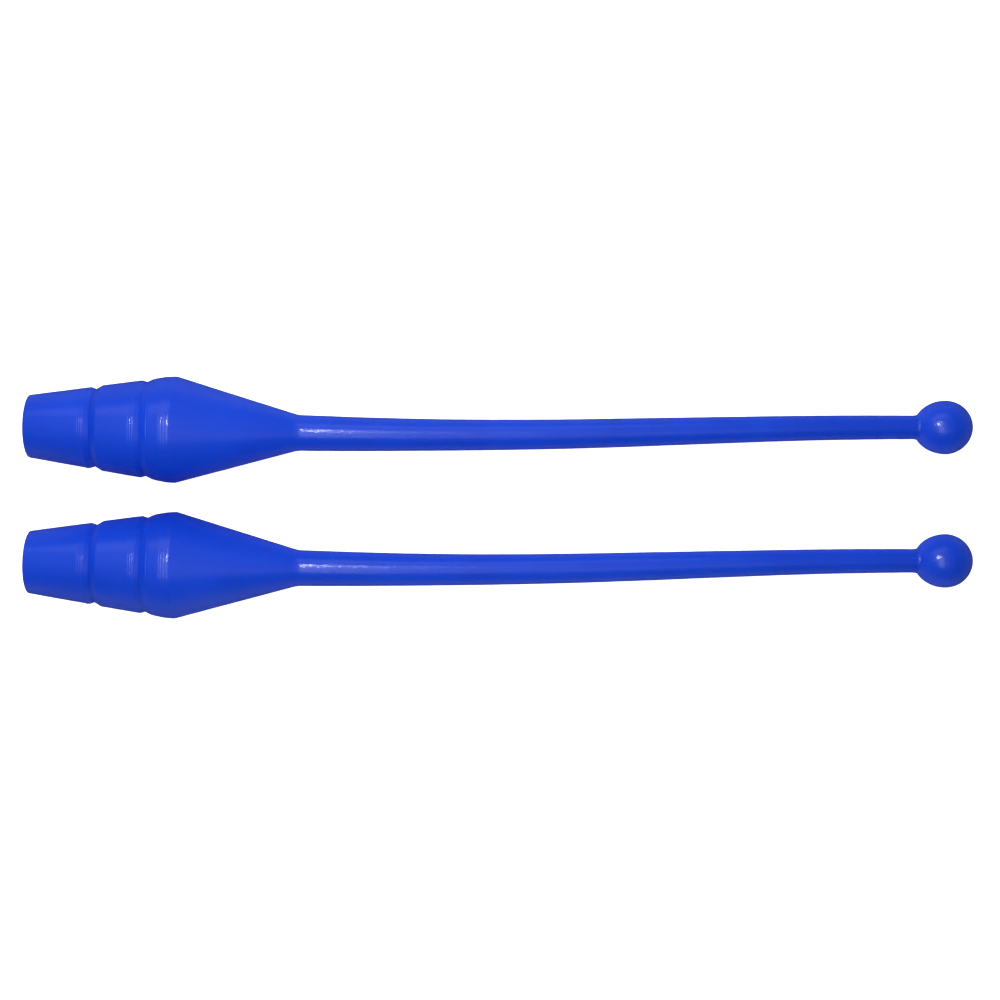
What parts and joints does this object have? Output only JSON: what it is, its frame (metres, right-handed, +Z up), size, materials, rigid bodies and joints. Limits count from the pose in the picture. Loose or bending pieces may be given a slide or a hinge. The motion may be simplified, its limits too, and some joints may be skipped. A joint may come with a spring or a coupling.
{
  "type": "rhythmic gymnastics clubs",
  "caption": "Glossy blue rhythmic gymnastics clubs: a grooved, tapered bulb with a flat base, a long slightly bowed neck and a small ball head, lying side by side.",
  "frame": {"origin": "middle of the pair's footprint on the floor, where Z = 0", "axes": "+X from the bases towards the ball heads, +Y from the right club towards the left club, +Z up from the floor"},
  "size_m": [0.4502, 0.1148, 0.0506],
  "materials": {
    "soft_blue_skin": "gloss",
    "soft_blue_plug": "satin",
    "hard_core_plastic": "matte",
    "ballast_steel": "satin"
  },
  "bodies": {
    "left_club": {"left_club_base_plug": "soft_blue_plug", "left_club_base_band": "soft_blue_skin", "left_club_middle_band": "soft_blue_skin", "left_club_shoulder_sleeve": "soft_blue_skin", "left_club_neck_sleeve": "soft_blue_skin", "left_club_head_ball": "soft_blue_skin", "left_club_rear_former": "hard_core_plastic", "left_club_front_former": "hard_core_plastic", "left_club_core_rod": "hard_core_plastic", "left_club_ballast_slug": "ballast_steel"},
    "right_club": {"right_club_base_plug": "soft_blue_plug", "right_club_base_band": "soft_blue_skin", "right_club_middle_band": "soft_blue_skin", "right_club_shoulder_sleeve": "soft_blue_skin", "right_club_neck_sleeve": "soft_blue_skin", "right_club_head_ball": "soft_blue_skin", "right_club_rear_former": "hard_core_plastic", "right_club_front_former": "hard_core_plastic", "right_club_core_rod": "hard_core_plastic", "right_club_ballast_slug": "ballast_steel"}
  },
  "joints": [
    {"name": "right_club_slide", "type": "slide", "parent": "left_club", "child": "right_club", "axis": [0, -1, 0], "range_m": [-0.013, 0.15]}
  ]
}
